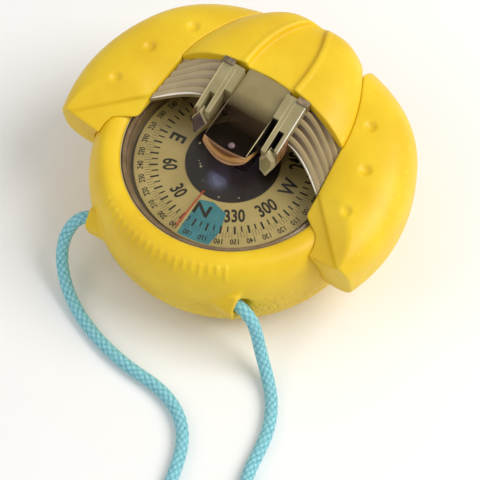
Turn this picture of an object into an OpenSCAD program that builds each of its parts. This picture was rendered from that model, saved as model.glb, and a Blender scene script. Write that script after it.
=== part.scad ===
// Handheld bearing compass: a liquid-filled card compass in a soft round case with two side
// grips, a hood over the reading prism, and a neck lanyard threaded through the front of the
// case.  Units are millimetres.  The origin is the centre of the flat base, +Z is up, +Y is the
// direction that is sighted along, and the lubber line is on the -Y side.

/* [Case] */
// Largest radius of the round bowl
bowl_r = 39.3; // [38:0.1:41]
// Height of the bowl's widest point above the base
bowl_mid_z = 22; // [21:0.5:24]
// Height of the rounded rim round the window
rim_z = 33.2; // [32.8:0.1:35]
// Radius of the window opening
opening_r = 30.3; // [30.1:0.1:30.8]
// Largest radius of the side grips
grip_r = 49.5; // [48:0.5:52]
// Radius of the case at the back of the hood
hood_back_r = 44.5; // [44:0.5:46]
// Height of the underside of the grips and the hood
grip_low_z = 18.5; // [16:0.5:21]
// Height of the hood's top
hood_top_z = 47.7; // [47:0.1:50]
// Half the width of the hood at its front
hood_half_w = 26.2; // [26:0.1:27]

/* [Capsule] */
// Radius of the clear dome's wall
dome_r = 30; // [29.9:0.1:30]
// Height of the dome's centre
dome_top_z = 32.8; // [32.6:0.1:33]
// Thickness of the dome
dome_t = 1.4; // [1.2:0.1:1.5]
// Radius of the flanges that are screwed together
flange_r = 35; // [34.8:0.1:35]
// Number of clamping screws
screw_count = 6; // [4:1:8]

/* [Sight] */
// Distance of each prism rail's middle, where its ribbed shoulder starts, from the centre
rail_x = 11.6; // [11.4:0.1:12]
// Height of the rails' front corner
rail_top_z = 42.6; // [42:0.1:44]
// Rise of the rails per millimetre towards the back
rail_slope = 0.4; // [0.36:0.01:0.47]
// Number of ribs on each clear shoulder
rib_count = 8; // [6:1:10]
// Height of one rib
rib_h = 0.7; // [0.4:0.1:1]

/* [Card] */
// Radius of the card
card_r = 26.8; // [26:0.1:26.9]
// Height of the card's printed face
card_z = 28; // [27.8:0.1:28.1]
// Radius of the dark cap in the card's middle
cap_r = 12.9; // [12.5:0.1:13.5]
// Height of the needle's tip, where the card turns and tilts
pivot_z = 26.6; // [26.2:0.1:26.8]
// Bearing that stands under the lubber line, in degrees
card_heading = 6.5; // [0:0.5:359.5]

/* [Lanyard] */
// Diameter of the cord
cord_d = 3.5; // [3:0.1:3.8]
// Radius of the channel that the cord runs through
channel_r = 2.1; // [2:0.05:2.4]
// Distance of each mouth of the channel from the middle
lug_x = 24.3; // [23:0.1:25]
// Outer radius of the coil, to the middle of the cord
coil_r = 24.5; // [24:0.5:26]

/* [Hidden] */

yellow = [0.94, 0.79, 0.13];
clear = [0.78, 0.73, 0.58, 0.4];
khaki = [0.66, 0.6, 0.4];
brass = [0.78, 0.62, 0.3];
steel = [0.75, 0.76, 0.78];
dark = [0.12, 0.1, 0.1];
cord_blue = [0.45, 0.77, 0.84];
round_fn = 96;
small_fn = 32;

// ---- Case outline ----------------------------------------------------------------------

// Radius of the long curve of the bowl's side, and the angle at which it meets the foot
side_round = 54;
side_end = 11;
// The foot's rounding and the radius of its centre, so that the two curves run into each other
foot_round = (bowl_mid_z - side_round * sin(side_end)) / (1 - sin(side_end));
foot_r = bowl_r - side_round + (side_round - foot_round) * cos(side_end);
// Half the width of the rounded rim
crest_r = 33.5;
rim_w = bowl_r - crest_r;
lip_z = 31.8;
// Levels inside the jacket: its floor, the ledge below the flanges and the lip's underside
floor_z = 4;
ledge_z = 25;
under_lip_z = 31;
wide_z = 23.2;
cavity_r = 27.6;
wide_r = 29.8;
// The cord's channel
channel_y = -31.5;
channel_z = 20;

function arc(c, r, from, to, n) =
    [for (i = [0:n]) let (a = from + (to - from) * i / n) [c[0] + r[0] * cos(a), c[1] + r[1] * sin(a)]];

// Outside of the bowl, from the edge of the base up to the crest of the rim
function bowl_side() = concat(
    arc([foot_r, foot_round], [foot_round, foot_round], -90, -side_end, 8),
    arc([bowl_r - side_round, bowl_mid_z], [side_round, side_round], -side_end, 0, 8),
    arc([bowl_r - rim_w, bowl_mid_z], [rim_w, rim_z - bowl_mid_z], 10, 90, 10));

// Everything inside the bowl's outside, level with the rim: what the grips and hood sit on
module bowl_envelope() {
    rotate_extrude($fn = round_fn)
        polygon(concat([[0, 0]], bowl_side(), [[0, rim_z]]));
}

// Tongues of the grip frame that reach into the grips and the hood
tongue_x = 43;
tongue_y = [-4, 18];
back_tongue = [12, 39];
frame_z = 29.2;
module frame_outline() {
    circle(r = flange_r, $fn = round_fn);
    for (side = [-1, 1])
        translate([side > 0 ? 0 : -tongue_x, tongue_y[0]])
            square([tongue_x, tongue_y[1] - tongue_y[0]]);
    translate([-back_tongue[0], 0])
        square([2 * back_tongue[0], back_tongue[1]]);
}
module frame_block() {
    translate([0, 0, frame_z])
        linear_extrude(under_lip_z - frame_z)
            frame_outline();
}

// One lanyard lug: a face across the channel that runs back into the bowl
lug_face = [[-27, 26.5], [-32.8, 25], [-35.6, 20.5], [-34.8, 16], [-27, 11.5]];
module lug() {
    hull() {
        translate([lug_x - 0.4, 0, 0])
            rotate([90, 0, 90])
                linear_extrude(0.4)
                    polygon(lug_face);
        translate([12, -33, channel_z])
            cube([1, 4, 4], center = true);
    }
}

module bowl_jacket() {
    color(yellow) difference() {
        union() {
            rotate_extrude($fn = round_fn)
                polygon(concat([[0, 0]], bowl_side(),
                    arc([bowl_r - rim_w, lip_z], [bowl_r - rim_w - opening_r, rim_z - lip_z], 95, 180, 6),
                    [[opening_r, under_lip_z], [flange_r, under_lip_z], [flange_r, ledge_z],
                     [wide_r, ledge_z], [wide_r, wide_z], [cavity_r, wide_z],
                     [cavity_r, floor_z], [0, floor_z]]));
            difference() {
                for (side = [0, 1])
                    mirror([side, 0, 0])
                        lug();
                cylinder(r = cavity_r + 3, h = 60);
            }
        }
        frame_block();
        translate([-lug_x - 5, channel_y, channel_z])
            rotate([0, 90, 0])
                cylinder(r = channel_r, h = 2 * lug_x + 10, $fn = small_fn);
    }
}

// ---- Grips and hood --------------------------------------------------------------------

// The grips' crown runs round the case at this radius, and their side bulges at this height
crown_r = 36.7;
side_z = 29.5;
crown_top_z = 42.1;

function ease(t) = let (c = min(1, max(0, t))) c * c * (3 - 2 * c);
// Outer radius of the grips and the hood at angle a, measured from +X towards +Y
function outer_r(a) = grip_r - (grip_r - hood_back_r) * ease((a - 30) / 60) + 0.03 * min(0, a);
// How full the grips' outer shoulder is: 2 is an ellipse, and more is squarer
function fullness(a) = 2.5 - 0.8 * ease((a - 30) / 45);
function crown_z(a) = crown_top_z - 0.001 * pow(max(0, 45 - a), 2);
// Height of the grips' top surface at radius r and angle a
function grip_z(r, a) =
    r < crown_r ? crown_z(a) - 0.038 * max(0, 1 - a / 45) * pow(crown_r - r, 2)
    : let (s = min(1, (r - crown_r) / (outer_r(a) - crown_r)))
      side_z + (crown_z(a) - side_z) * pow(1 - pow(s, fullness(a)), 1 / fullness(a));

grip_in_r = 22;
grip_low_r = 37;
function grip_section(a) = concat(
    [[grip_in_r, grip_low_z]],
    [for (i = [0:5]) let (r = grip_in_r + (crown_r - grip_in_r) * i / 5) [r, grip_z(r, a)]],
    [for (i = [1:9]) let (s = sin(i * 10), r = crown_r + (outer_r(a) - crown_r) * s) [r, grip_z(r, a)]],
    [for (i = [1:5]) let (d = sin(i * 18))
        [grip_low_r + (outer_r(a) - grip_low_r) * pow(max(0, 1 - pow(d, 4)), 1 / 4),
         side_z - (side_z - grip_low_z) * d]]);

// Solid through a row of closed sections that all have n points
module loft(points, rings, n) {
    polyhedron(points, concat(
        [[for (i = [0:n - 1]) i]],
        [for (k = [0:rings - 2], i = [0:n - 1]) let (j = (i + 1) % n)
            [k * n + i, (k + 1) * n + i, (k + 1) * n + j, k * n + j]],
        [[for (i = [0:n - 1]) rings * n - 1 - i]]));
}

grip_from = -27;
grip_to = 84;
grip_steps = 30;
module grip_blank() {
    sections = [for (k = [0:grip_steps]) let (a = grip_from + (grip_to - grip_from) * k / grip_steps)
        [for (p = grip_section(a)) [p[0] * cos(a), p[0] * sin(a), p[1]]]];
    n = len(sections[0]);
    loft([for (s = sections, p = s) p], len(sections), n);
}

// Everything beyond a plane: the plane goes through p, and its normal leans by lean towards dir
module beyond(p, lean, dir) {
    translate(p)
        rotate([0, lean, dir])
            translate([-60, -60, 0])
                cube([120, 120, 60]);
}

// Half the hood's width at distance y behind the middle
hood_y = 12;
function hood_w(y) = hood_half_w - 14.7 * pow(max(0, (y - hood_y) / 32.5), 1.75);
// The window's straight side edges beside the grips
window_side = [[27.4, -0.2], [25.9, 13.4]];
module window_corridor() {
    linear_extrude(60)
        polygon([[0, -60], [window_side[0][0], -60], window_side[0], window_side[1],
                 [hood_w(14), 14], [0, 14]]);
}
module hood_footprint() {
    linear_extrude(60)
        polygon(concat([[0, hood_y], [window_side[1][0] + 0.3, hood_y]],
            [for (i = [0:14]) let (y = hood_y + 2 + 35 * i / 14) [hood_w(min(y, 44.6)), y]],
            [[0, 49]]));
}

// Thumb dimples in a grip: radius, angle round the case
dimples = [[37.3, -3], [36.7, 17], [36.7, 38]];
dimple_r = 2.2;
dimple_d = 0.9;
module grip() {
    color(yellow) difference() {
        grip_blank();
        for (d = dimples)
            translate([d[0] * cos(d[1]), d[0] * sin(d[1]), grip_z(d[0], d[1]) + dimple_r - dimple_d])
                sphere(r = dimple_r, $fn = small_fn);
        beyond([27.4, -0.2, 36.9], 36, -128.3);
        beyond([34.7, -14.2, 32.2], 107, -98);
        window_corridor();
        hood_footprint();
        bowl_envelope();
        frame_block();
    }
}
module right_grip() {
    grip();
}
module left_grip() {
    mirror([1, 0, 0])
        grip();
}

// Solid between a grid of top points and a level below it
module height_solid(grid, low) {
    rows = len(grid);
    cols = len(grid[0]);
    top = [for (row = grid, p = row) p];
    under = [for (p = top) [p[0], p[1], low]];
    m = rows * cols;
    polyhedron(concat(top, under), concat(
        [for (i = [0:rows - 2], j = [0:cols - 2]) each
            [[i * cols + j, (i + 1) * cols + j, (i + 1) * cols + j + 1],
             [i * cols + j, (i + 1) * cols + j + 1, i * cols + j + 1]]],
        [for (i = [0:rows - 2], j = [0:cols - 2])
            [m + i * cols + j, m + i * cols + j + 1, m + (i + 1) * cols + j + 1, m + (i + 1) * cols + j]],
        [for (j = [0:cols - 2]) each
            [[j, j + 1, m + j + 1, m + j],
             [(rows - 1) * cols + j + 1, (rows - 1) * cols + j, m + (rows - 1) * cols + j,
              m + (rows - 1) * cols + j + 1]]],
        [for (i = [0:rows - 2]) each
            [[(i + 1) * cols, i * cols, m + i * cols, m + (i + 1) * cols],
             [i * cols + cols - 1, (i + 1) * cols + cols - 1, m + (i + 1) * cols + cols - 1,
              m + i * cols + cols - 1]]]));
}

hood_front_y = 18.3;
hood_sweep = 4.9;
hood_back_curve = 2.5;
back_round = 6.5;
// The sunk panel in the hood's top: half its front width, its depth, its rounded edge, its tip
panel_half_w = 6.5;
panel_d = 1.9;
panel_edge = 1.4;
panel_end_y = 43.3;
function hood_front(u) = hood_front_y - hood_sweep * pow(abs(u), 1.6);
function hood_ridge(y) = hood_top_z - 3 * pow(max(0, (y - 22) / 18), 2.2);
function panel_w(y) = 0.4 + panel_half_w * (1 - pow(min(1, max(0, (y - 18) / (panel_end_y - 18))), 2.6));
// Column s of the hood's surface: 0 to 1 crosses the panel, 1 to 2 its edge, 2 to 3 the flank
function hood_x(s, y) =
    let (w = panel_w(y), edge = min(panel_edge, hood_w(y) - w))
    s <= 1 ? w * s : s <= 2 ? w + edge * (s - 1) : w + edge + (hood_w(y) - w - edge) * (s - 2);
function hood_z(s, x, y) =
    let (w = hood_w(y), u = min(1, x / w), r = norm([x, y]), reach = outer_r(atan2(y, x)),
         crease = grip_z(norm([w, y]), atan2(y, w)),
         sunk = panel_d * (1 - ease(s - 1)) * ease((panel_end_y - y) / 4),
         top = crease + (max(crease, hood_ridge(y)) - crease) * (1 - pow(u, 4)) - sunk,
         back = min(1, max(0, (r - reach + back_round) / back_round)))
    side_z + (top - side_z) * pow(1 - pow(back, 2.5 + u), 1 / (2.5 + u));
hood_half = [0, 0.5, 1, 1.3, 1.7, 2, 2.2, 2.4, 2.55, 2.7, 2.8, 2.9, 3];
hood_columns = concat([for (i = [len(hood_half) - 1:-1:1]) -hood_half[i]], hood_half);
hood_rows = 22;
module hood() {
    color(yellow) difference() {
        height_solid([for (i = [0:hood_rows]) [for (c = hood_columns)
            let (s = abs(c), u = hood_x(s, hood_front_y) / hood_w(hood_front_y),
                 front = hood_front(u),
                 back = hood_back_r - hood_back_curve * u * u,
                 y = front + (back - front) * sin(90 * i / hood_rows),
                 x = hood_x(s, y))
            [x * sign(c), y, hood_z(s, x, y)]]], grip_low_z);
        bowl_envelope();
        frame_block();
        roof();
        prism_block();
    }
}

module grip_frame() {
    color(dark) difference() {
        frame_block();
        translate([0, 0, frame_z - 1])
            cylinder(r = dome_r + 1, h = 10, $fn = round_fn);
        clamp_holes(1.05);
        clamp_heads();
    }
}

// ---- Capsule ---------------------------------------------------------------------------

dome_rise = 1.2;
dome_in_r = dome_r - dome_t;
seat_z = 27.2;
function dome_z(r) = dome_top_z - dome_rise * pow(r / dome_r, 2);

screw_r = 1;
head_r = 1.7;
screw_ring_r = 33;
module at_screws() {
    for (i = [0:screw_count - 1])
        rotate([0, 0, 360 * (i + 0.5) / screw_count])
            translate([screw_ring_r, 0, 0])
                children();
}
module clamp_holes(r) {
    at_screws()
        translate([0, 0, ledge_z + 0.6])
            cylinder(r = r, h = 10, $fn = small_fn);
}
module clamp_heads() {
    at_screws()
        translate([0, 0, under_lip_z - 0.9])
            cylinder(r = head_r, h = 2, $fn = small_fn);
}
module clamp_screws() {
    color(steel) at_screws() difference() {
        union() {
            translate([0, 0, ledge_z + 0.6])
                cylinder(r = screw_r, h = under_lip_z - ledge_z - 1.2, $fn = small_fn);
            translate([0, 0, under_lip_z - 0.9])
                cylinder(r = head_r, h = 0.8, $fn = small_fn);
        }
        translate([0, 0, under_lip_z - 0.5])
            cube([0.5, 2.2, 1], center = true);
    }
}

// One rail: a bar with a slot down into it, a kite-shaped nose that leans back on its front, and
// a web behind the slot that reaches in to the prism
rail_in_x = 8.9;
rail_out_x = 13.6;
rail_back_y = 15.9;
rail_front_y = 1.6;
rail_low_z = 32.2;
nose = [[11.6, -1.5, 33.3], [9.2, 1.5, 37.2], [13.9, 0.8, 37.2], [11.5, 2.2, 41.6]];
slot_x = [10.4, 12.1];
slot_y = [2.6, 7.4];
slot_floor_z = 36;
web_in_x = 6.8;
web_front_y = 8.6;
web_t = 1.6;
function rail_top(y) = rail_top_z + rail_slope * (y - 4);
module along_x(from, to) {
    rotate([90, 0, 90])
        translate([0, 0, from])
            linear_extrude(to - from)
                children();
}
module rail() {
    difference() {
        union() {
            along_x(rail_in_x, rail_out_x)
                polygon([[rail_front_y, rail_low_z], [rail_front_y, rail_top(rail_front_y)],
                         [rail_back_y, rail_top(rail_back_y)], [rail_back_y, rail_low_z]]);
            hull()
                for (p = nose)
                    translate([p[0], p[1] + 0.2, p[2]])
                        cube([0.4, 2, 0.4], center = true);
        }
        translate([slot_x[0], slot_y[0], slot_floor_z])
            cube([slot_x[1] - slot_x[0], slot_y[1] - slot_y[0], 20]);
    }
    along_x(web_in_x, rail_in_x + 0.5)
        polygon([[web_front_y, rail_top(web_front_y) - web_t], [web_front_y, rail_top(web_front_y)],
                 [rail_back_y, rail_top(rail_back_y)], [rail_back_y, rail_top(rail_back_y) - web_t]]);
}

// Ribbed clear shoulder between a rail and a grip
shoulder_back_y = 20;
shoulder_top_z = 45.6;
function shoulder_front(t) = 6 - 6.2 * pow(t, 1.8);
function rib(v) = let (f = v * rib_count - floor(v * rib_count))
    rib_h * (f < 0.75 ? f / 0.75 : (1 - f) / 0.25);
module shoulder() {
    steps = rib_count * 4;
    height_solid([for (i = [0:steps]) [for (j = [0:8])
        let (t = j / 8, v = i / steps,
             y = shoulder_front(t) + (shoulder_back_y - shoulder_front(t)) * v,
             x = rail_x + (window_side[0][0] - 0.11 * (y + 0.2) - rail_x) * t,
             high = rail_top(y) - 1.4,
             low = 36.5 + 0.243 * (y + 0.2))
        [x, y, min(shoulder_top_z, high + (low - high) * pow(t, 1.15)) - rib_h + rib(v)]]], 31.7);
}
module roof() {
    for (side = [0, 1])
        mirror([side, 0, 0]) {
            shoulder();
            rail();
        }
}
module capsule_dome() {
    color(clear) difference() {
        union() {
            rotate_extrude($fn = round_fn)
                polygon(concat(
                    [[dome_in_r, seat_z], [flange_r, seat_z], [flange_r, frame_z], [dome_r, frame_z]],
                    [for (i = [0:10]) let (r = dome_r * (10 - i) / 10) [r, dome_z(r)]],
                    [for (i = [0:10]) let (r = dome_in_r * i / 10) [r, dome_z(r) - dome_t]]));
            roof();
        }
        clamp_holes(1.05);
    }
}

// Reading prism: a sloping block between the rails with a convex lens on its front
prism_w = 6.7;
lens_r = 14;
lens_y = -4.8;
prism_slope = 0.25;
prism_front_z = 39.8;
lens_low_z = 35.5;
module prism_block() {
    intersection() {
        along_x(-prism_w, prism_w)
            polygon([[lens_y + 3, dome_top_z], [lens_y, lens_low_z], [lens_y, prism_front_z],
                     [hood_front_y, prism_front_z + prism_slope * (hood_front_y - lens_y)],
                     [hood_front_y, dome_top_z]]);
        union() {
            translate([0, lens_y + lens_r, 0])
                cylinder(r = lens_r, h = 60, $fn = round_fn);
            translate([-prism_w, 0, 0])
                cube([2 * prism_w, 30, 60]);
        }
    }
}
module reading_prism() {
    color(clear)
        prism_block();
}

module bezel_ring() {
    color([0.45, 0.33, 0.2])
        rotate_extrude($fn = round_fn)
            polygon([[27.75, seat_z], [dome_in_r, seat_z], [dome_in_r, 30.3], [28.2, 30.3]]);
}

lubber_from = 13.3;
lubber_to = 26;
lubber_w = 0.7;
lubber_t = 0.25;
module lubber_line() {
    color([0.8, 0.22, 0.15])
        rotate([90, 0, -90])
            translate([0, 0, -lubber_w / 2])
                linear_extrude(lubber_w)
                    polygon([for (p = [[lubber_from, 0], [lubber_to, 0], [lubber_to, lubber_t],
                                       [lubber_from, lubber_t]])
                        [p[0], dome_z(p[0]) - dome_t - p[1]]]);
}

base_in_r = 26;
base_low_z = 8;
groove_r = 30.6;
module capsule_base() {
    color([0.86, 0.82, 0.7]) difference() {
        rotate_extrude($fn = round_fn)
            polygon([[0, base_low_z], [15.5, base_low_z], [15.5, 4.6], [18, 4.6], [18, base_low_z],
                     [24.6, base_low_z], [cavity_r, base_low_z + 3], [cavity_r, wide_z], [wide_r, wide_z],
                     [wide_r, ledge_z], [flange_r, ledge_z], [flange_r, seat_z], [27.75, seat_z],
                     [27.75, 24.6], [base_in_r, 24.6], [base_in_r, 12.6], [23.4, 10], [0, 10]]);
        rotate_extrude($fn = round_fn)
            translate([groove_r - 0.6, seat_z - 1])
                square([1.2, 2]);
        clamp_holes(screw_r);
        for (i = [0:3])
            rotate([0, 0, 90 * i + 45])
                translate([9, 0, 5])
                    cylinder(r = 1.5, h = 8, $fn = small_fn);
        translate([filler_x, 0, 5])
            cylinder(r = 1.6, h = 8, $fn = small_fn);
    }
}
module capsule_seal() {
    color(dark)
        rotate_extrude($fn = round_fn)
            translate([groove_r, seat_z - 0.5])
                circle(r = 0.5, $fn = 24);
}

module glow_disc() {
    color([0.75, 0.85, 0.6])
        rotate_extrude($fn = round_fn)
            translate([11, 10])
                square([7, 0.8]);
}
module diaphragm() {
    color([0.2, 0.2, 0.2])
        rotate_extrude($fn = round_fn)
            polygon([[0, 5.4], [8, 5.4], [12.4, 7.2], [15.5, 7.2], [15.5, 8], [12, 8], [7.6, 6.2],
                     [0, 6.2]]);
}
module diaphragm_ring() {
    color(brass)
        rotate_extrude($fn = round_fn)
            translate([13, 5.6])
                square([2.5, 1.6]);
}
filler_x = 21.3;
module filler_plug() {
    color(brass) translate([filler_x, 0, 0]) difference() {
        union() {
            translate([0, 0, 5.6])
                cylinder(r = 2.6, h = 1.8, $fn = small_fn);
            translate([0, 0, 7])
                cylinder(r = 1.6, h = 3, $fn = small_fn);
        }
        translate([0, 0, 5.8])
            cube([0.7, 6, 1], center = true);
    }
}
module filler_seal() {
    color(dark) translate([filler_x, 0, 7.4]) difference() {
        cylinder(r = 2.6, h = 0.6, $fn = small_fn);
        translate([0, 0, -1])
            cylinder(r = 1.6, h = 3, $fn = small_fn);
    }
}

// ---- Pivot and card --------------------------------------------------------------------

needle_r = 0.5;
post_top_z = 19.5;
module pivot_post() {
    color(brass)
        rotate_extrude($fn = 48)
            polygon([[0, 10], [4.5, 10], [4.5, 11.4], [2, 12.4], [1.7, post_top_z], [needle_r, post_top_z],
                     [needle_r, 15], [0, 15]]);
}
module pivot_needle() {
    color(steel)
        rotate_extrude($fn = small_fn)
            polygon([[0, 15], [needle_r, 15], [needle_r, pivot_z - 1.2], [0, pivot_z]]);
}
// The jewel is a ball with a cone up into it, held in a round seat
jewel_r = 1.5;
jewel_low_z = pivot_z - 0.6;
seat_r = jewel_r + 0.05;
module jewel() {
    color([0.8, 0.3, 0.4]) difference() {
        translate([0, 0, pivot_z])
            sphere(r = jewel_r, $fn = small_fn);
        translate([0, 0, jewel_low_z - jewel_r])
            cylinder(r = 2 * jewel_r, h = jewel_r);
        translate([0, 0, jewel_low_z - 0.01])
            cylinder(r1 = 0.9, r2 = 0, h = pivot_z + 0.03 - jewel_low_z, $fn = small_fn);
    }
}
card_t = 0.6;
cap_t = 0.4;
cap_z = card_z + cap_t;
float_in_r = 11.5;
// Bore through the float and the cap, and the mount's stem in it
bore_r = 2.2;
stem_r = bore_r - 0.05;
stem_low_z = jewel_low_z - 0.4;
brim_r = 3;
module jewel_mount() {
    color([0.85, 0.8, 0.68]) difference() {
        rotate_extrude($fn = 48)
            polygon(concat([[0, stem_low_z], [stem_r, stem_low_z], [stem_r, cap_z], [brim_r, cap_z],
                            [brim_r, cap_z + cap_t]],
                arc([0, cap_z + cap_t], [bore_r, 1.2], 0, 90, 6)));
        translate([0, 0, pivot_z])
            sphere(r = seat_r, $fn = small_fn);
        translate([0, 0, stem_low_z - 1])
            cylinder(r = 1.2, h = 1.2, $fn = small_fn);
    }
}
module on_heading() {
    rotate([0, 0, card_heading])
        children();
}
module hub_cap() {
    color(dark)
        rotate_extrude($fn = round_fn)
            translate([bore_r, card_z])
                square([cap_r - bore_r, cap_t]);
}
module card() {
    color(khaki)
        rotate_extrude($fn = round_fn)
            translate([float_in_r, card_z - card_t])
                square([card_r - float_in_r, card_t]);
}
float_low_z = 20.2;
module card_float() {
    color([0.25, 0.22, 0.2])
        rotate_extrude($fn = round_fn)
            polygon([[5, float_low_z], [11, float_low_z], [13.6, 25], [13.6, card_z - card_t],
                     [float_in_r, card_z - card_t], [float_in_r, card_z], [bore_r, card_z],
                     [bore_r, 25.2], [5, 25.2]]);
}
magnet = [3, 13, 2.4];
module magnets() {
    color(steel) on_heading()
        for (side = [-1, 1])
            translate([side * 7.5 - magnet[0] / 2, -magnet[1] / 2, float_low_z - magnet[2]])
                cube(magnet);
}

// ---- Lanyard ---------------------------------------------------------------------------

// Where the coil lies, and the level of the cord's middle on the floor
coil_at = [63.5, -106];
lay_z = cord_d / 2;
pitch = cord_d;
turns_in = 3;

// Middle of the cord from the middle of the channel out of its left mouth to the coil
left_route = [[0, -31.5, 20], [-8, -31.5, 20], [-16, -31.5, 20], [-21, -31.5, 20], [-25, -32, 19.6],
    [-28, -34, 17.6], [-29.4, -37, 14], [-29, -40.2, 10], [-26.6, -43.6, 6.4], [-22.4, -47, 3.6],
    [-17, -50, 2.2], [-10.5, -52.6, 1.75], [-4, -54.4, 1.75], [2.5, -55.5, 1.75], [8, -55.9, 1.75],
    [13.4, -56.2, 1.75], [18.4, -57.2, 1.75], [23, -59.2, 1.75], [27, -62.4, 1.75], [30, -66.6, 1.75],
    [32, -71.4, 1.75], [33.8, -77, 1.75], [35.8, -84, 1.75], [37.6, -91, 1.75], [38.7, -99, 1.75],
    [39, -106, 1.75]];
// The same from the middle of the channel out of its right mouth to the coil
right_route = [[0, -31.5, 20], [8, -31.5, 20], [16, -31.5, 20], [21, -31.5, 20], [25, -31.6, 19.2],
    [28.2, -31.9, 16.6], [30.2, -32.5, 12.6], [32, -33.6, 8.4], [34.8, -35.6, 4.6], [38.2, -38.4, 2.4],
    [41.6, -42, 1.75], [44.4, -46.4, 1.75], [46.4, -51.2, 1.75], [47.6, -56.2, 1.75], [48.6, -61.4, 1.75],
    [50.1, -65.6, 2.2], [52.4, -68.2, 3.4], [55.3, -70.8, 4.7], [59, -74, 4.9], [62.7, -77.2, 4.9],
    [66.6, -80.6, 5.1], [70.6, -83.8, 5.25], [74.7, -86.5, 5.25]];

function tangent(route, i) = let (d = route[min(i + 1, len(route) - 1)] - route[max(i - 1, 0)]) d / norm(d);
// Tube along a route: each section is square to it
module tube(route, r, sides) {
    loft([for (i = [0:len(route) - 1])
            let (t = tangent(route, i), a = cross([0, 0, 1], t), b = a / norm(a), c = cross(t, b))
            for (k = [0:sides - 1]) route[i] + r * (b * cos(360 * k / sides) + c * sin(360 * k / sides))],
        len(route), sides);
}
cord_sides = 8;
module lanyard_left() {
    color(cord_blue)
        tube(left_route, cord_d / 2, cord_sides);
}
module lanyard_right() {
    color(cord_blue)
        tube(right_route, cord_d / 2, cord_sides);
}
coil_in_r = coil_r - turns_in * pitch - cord_d / 2;
coil_out_r = coil_r + cord_d / 2;
coil_top_z = lay_z + pitch + cord_d / 2;
module lanyard_coil() {
    color(cord_blue) translate([coil_at[0], coil_at[1], 0]) difference() {
        rotate_extrude($fn = 64)
            polygon(concat(
                arc([coil_in_r + lay_z, lay_z], [lay_z, lay_z], 180, 270, 4),
                arc([coil_out_r - lay_z, lay_z], [lay_z, lay_z], 270, 360, 4),
                arc([coil_out_r - lay_z, coil_top_z - lay_z], [lay_z, lay_z], 0, 90, 4),
                arc([coil_in_r + lay_z, coil_top_z - lay_z], [lay_z, lay_z], 90, 180, 4)));
        tie_at() tie_solid(0.01);
    }
}
// Tie: a flat band round the coil's section, let into the coil
tie_t = 0.8;
tie_w = 5;
module tie_at() {
    rotate([0, 0, -60])
        children();
}
module tie_solid(more) {
    translate([coil_in_r - tie_t, -tie_w / 2 - more, -more])
        cube([coil_out_r - coil_in_r + 2 * tie_t, tie_w + 2 * more, tie_t + more]);
    translate([coil_in_r - tie_t, -tie_w / 2 - more, coil_top_z - more])
        cube([coil_out_r - coil_in_r + 2 * tie_t, tie_w + 2 * more, tie_t + more]);
    for (x = [coil_in_r - tie_t, coil_out_r])
        translate([x - more, -tie_w / 2 - more, 0])
            cube([tie_t + 2 * more, tie_w + 2 * more, coil_top_z + tie_t]);
}
module coil_tie() {
    color(dark)
        translate([coil_at[0], coil_at[1], 0])
            tie_at()
                tie_solid(0);
}
// Stopper knot: three turns of the cord wrapped round itself, with both ends drawn in
knot_at = [59, -74, 4.9];
knot_turns = 3;
knot_r = 4.9;
knot_cord_r = 1.6;
module lanyard_knot() {
    half = knot_turns * knot_cord_r;
    color(cord_blue)
        translate(knot_at)
            rotate([0, 90, -40.8])
                rotate_extrude($fn = 48)
                    polygon(concat([[0, -half + 0.6], [knot_r - knot_cord_r, -half]],
                        [for (i = [0:knot_turns - 1])
                            each arc([knot_r - knot_cord_r, (2 * i + 1) * knot_cord_r - half],
                                [knot_cord_r, knot_cord_r], -75, 75, 6)],
                        [[knot_r - knot_cord_r, half], [0, half - 0.6]]));
}

bowl_jacket();
left_grip();
right_grip();
hood();
grip_frame();
capsule_dome();
reading_prism();
bezel_ring();
lubber_line();
capsule_seal();
clamp_screws();
capsule_base();
glow_disc();
diaphragm();
diaphragm_ring();
filler_plug();
filler_seal();
pivot_post();
pivot_needle();
jewel();
jewel_mount();
hub_cap();
card();
card_float();
magnets();
lanyard_left();
lanyard_right();
lanyard_coil();
coil_tie();
lanyard_knot();
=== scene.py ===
"""A handheld bearing compass: soft yellow case with two grips and a hood, a printed card under a
clear dome with a reading prism, and a braided neck cord.  Sizes are in millimetres in the
modelling functions and become metres in make_mesh()."""

import math

import bmesh
import bpy
import numpy as np
import openvdb
from mathutils import Matrix, Vector


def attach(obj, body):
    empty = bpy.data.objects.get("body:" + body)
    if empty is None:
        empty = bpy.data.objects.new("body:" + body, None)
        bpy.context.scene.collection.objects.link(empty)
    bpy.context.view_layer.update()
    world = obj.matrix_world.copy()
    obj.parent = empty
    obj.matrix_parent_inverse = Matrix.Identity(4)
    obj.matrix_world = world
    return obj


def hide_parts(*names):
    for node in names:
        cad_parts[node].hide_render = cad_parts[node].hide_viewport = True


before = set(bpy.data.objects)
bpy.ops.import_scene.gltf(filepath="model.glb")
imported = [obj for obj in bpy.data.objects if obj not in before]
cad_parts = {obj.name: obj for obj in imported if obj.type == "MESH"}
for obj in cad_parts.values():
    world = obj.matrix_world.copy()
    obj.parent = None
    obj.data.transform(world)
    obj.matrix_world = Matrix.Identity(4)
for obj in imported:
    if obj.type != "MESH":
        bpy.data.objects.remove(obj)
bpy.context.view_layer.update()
MM = 0.001


# ---- Sizes shared with part.scad ----

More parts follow.
